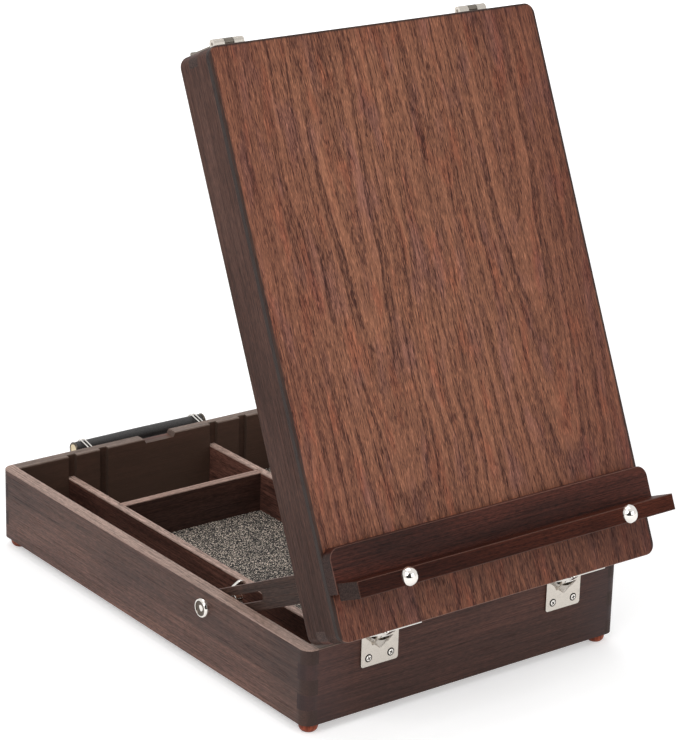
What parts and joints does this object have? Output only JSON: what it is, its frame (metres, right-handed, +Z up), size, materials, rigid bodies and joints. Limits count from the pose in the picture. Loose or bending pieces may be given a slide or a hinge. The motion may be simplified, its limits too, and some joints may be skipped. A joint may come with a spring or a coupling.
{
  "type": "pochade box",
  "caption": "Table-top wooden painting box with divider compartments and a front-hinged lid that stands open as an easel on slotted struts.",
  "frame": {"origin": "middle of the case's footprint, on the surface that its feet stand on", "axes": "+Z up, -Y towards the hinged front where the open lid stands, +Y towards the carrying handle, +X to the right seen from the front"},
  "size_m": [0.2714, 0.4648, 0.4267],
  "materials": {
    "case_wood": "dark brown stain under satin lacquer",
    "lid_board": "red-brown open-grained veneer, satin",
    "bottom_board": "plain board",
    "ledge_wood": "dark red-brown stain, satin",
    "divider_wood": "thin stained board",
    "strut_wood": "grey-brown stain, satin",
    "foot_wood": "turned button, satin",
    "floor_sheet": "speckled sheet",
    "bright_plate": "satin nickel plate",
    "bright_fastener": "bright nickel plate",
    "insert_metal": "plain machined",
    "grip_cover": "black grained leather cloth"
  },
  "bodies": {
    "box": {"box_left_wall": "case_wood", "box_right_wall": "case_wood", "box_front_wall": "case_wood", "box_rear_wall": "case_wood", "box_bottom_panel": "bottom_board", "box_floor_liner": "floor_sheet", "box_feet": "foot_wood", "left_hinge_lower_leaf": "bright_plate", "right_hinge_lower_leaf": "bright_plate", "left_hinge_pin": "bright_plate", "right_hinge_pin": "bright_plate", "hinge_lower_screws": "bright_fastener", "left_catch_plate": "bright_plate", "right_catch_plate": "bright_plate", "catch_screws": "bright_fastener", "left_strut_bolt": "bright_fastener", "right_strut_bolt": "bright_fastener", "left_handle_bracket": "bright_plate", "right_handle_bracket": "bright_plate", "left_handle_pin": "bright_plate", "right_handle_pin": "bright_plate", "handle_bracket_screws": "bright_fastener"},
    "lid": {"lid_left_wall": "case_wood", "lid_right_wall": "case_wood", "lid_front_wall": "case_wood", "lid_rear_wall": "case_wood", "lid_panel": "lid_board", "ledge_plate": "ledge_wood", "ledge_bar": "ledge_wood", "ledge_bolts": "bright_fastener", "ledge_inserts": "insert_metal", "left_hinge_upper_leaf": "bright_plate", "right_hinge_upper_leaf": "bright_plate", "hinge_upper_screws": "bright_fastener", "left_latch_plate": "bright_plate", "right_latch_plate": "bright_plate", "latch_screws": "bright_fastener", "left_hasp_pin": "bright_plate", "right_hasp_pin": "bright_plate"},
    "left_hasp_flap": {"left_hasp": "bright_plate"},
    "right_hasp_flap": {"right_hasp": "bright_plate"},
    "left_clamp_washer": {"left_strut_washer": "bright_fastener"},
    "left_strut_arm": {"left_strut": "strut_wood", "left_strut_pivot_screw": "bright_fastener"},
    "right_clamp_washer": {"right_strut_washer": "bright_fastener"},
    "right_strut_arm": {"right_strut": "strut_wood", "right_strut_pivot_screw": "bright_fastener"},
    "left_clamp_nut": {"left_wing_nut": "bright_fastener"},
    "right_clamp_nut": {"right_wing_nut": "bright_fastener"},
    "left_divider_board": {"left_divider": "divider_wood"},
    "right_divider_board": {"right_divider": "divider_wood"},
    "cross_divider_board": {"cross_divider": "divider_wood"},
    "handle": {"left_handle_loop": "bright_plate", "right_handle_loop": "bright_plate", "handle_grip": "grip_cover", "handle_grip_caps": "bright_plate"}
  },
  "joints": [
    {"name": "lid_hinge", "type": "hinge", "parent": "box", "child": "lid", "pos_m": [0, -0.1944, 0.06115], "axis": [1, 0, 0], "range_deg": [-66.1, 13.9]},
    {"name": "left_hasp_hinge", "type": "hinge", "parent": "lid", "child": "left_hasp_flap", "pos_m": [-0.0965, -0.04082, 0.41945], "axis": [1, 0, 0], "range_deg": [0, 150]},
    {"name": "right_hasp_hinge", "type": "hinge", "parent": "lid", "child": "right_hasp_flap", "pos_m": [0.1035, -0.04082, 0.41945], "axis": [1, 0, 0], "range_deg": [0, 150]},
    {"name": "left_strut_swing", "type": "hinge", "parent": "box", "child": "left_clamp_washer", "pos_m": [-0.123, -0.074, 0.0481], "axis": [1, 0, 0], "range_deg": [-0.8, 2.9]},
    {"name": "left_strut_slide", "type": "slide", "parent": "left_clamp_washer", "child": "left_strut_arm", "axis": [0, -0.8988, 0.4384], "range_m": [-0.047, 0.0102]},
    {"name": "right_strut_swing", "type": "hinge", "parent": "box", "child": "right_clamp_washer", "pos_m": [0.123, -0.074, 0.0481], "axis": [1, 0, 0], "range_deg": [-0.8, 2.9]},
    {"name": "right_strut_slide", "type": "slide", "parent": "right_clamp_washer", "child": "right_strut_arm", "axis": [0, -0.8988, 0.4384], "range_m": [-0.047, 0.0102]},
    {"name": "left_wing_nut_turn", "type": "hinge", "parent": "box", "child": "left_clamp_nut", "pos_m": [-0.123, -0.074, 0.0481], "axis": [1, 0, 0], "continuous": true},
    {"name": "right_wing_nut_turn", "type": "hinge", "parent": "box", "child": "right_clamp_nut", "pos_m": [0.123, -0.074, 0.0481], "axis": [1, 0, 0], "continuous": true},
    {"name": "left_divider_lift", "type": "slide", "parent": "box", "child": "left_divider_board", "axis": [0, 0, 1], "range_m": [0, 0.048]},
    {"name": "right_divider_lift", "type": "slide", "parent": "box", "child": "right_divider_board", "axis": [0, 0, 1], "range_m": [0, 0.048]},
    {"name": "cross_divider_lift", "type": "slide", "parent": "box", "child": "cross_divider_board", "axis": [0, 0, 1], "range_m": [0, 0.048]},
    {"name": "handle_swing", "type": "hinge", "parent": "box", "child": "handle", "pos_m": [0, 0.1974, 0.051], "axis": [1, 0, 0], "range_deg": [-90, 90]}
  ],
  "couplings": [
    {"joint": "left_strut_swing", "follows": "lid_hinge", "ratio": -0.04},
    {"joint": "left_strut_slide", "follows": "lid_hinge", "m_per_rad": 0.039821},
    {"joint": "right_strut_swing", "follows": "lid_hinge", "ratio": -0.04},
    {"joint": "right_strut_slide", "follows": "lid_hinge", "m_per_rad": 0.039821}
  ]
}
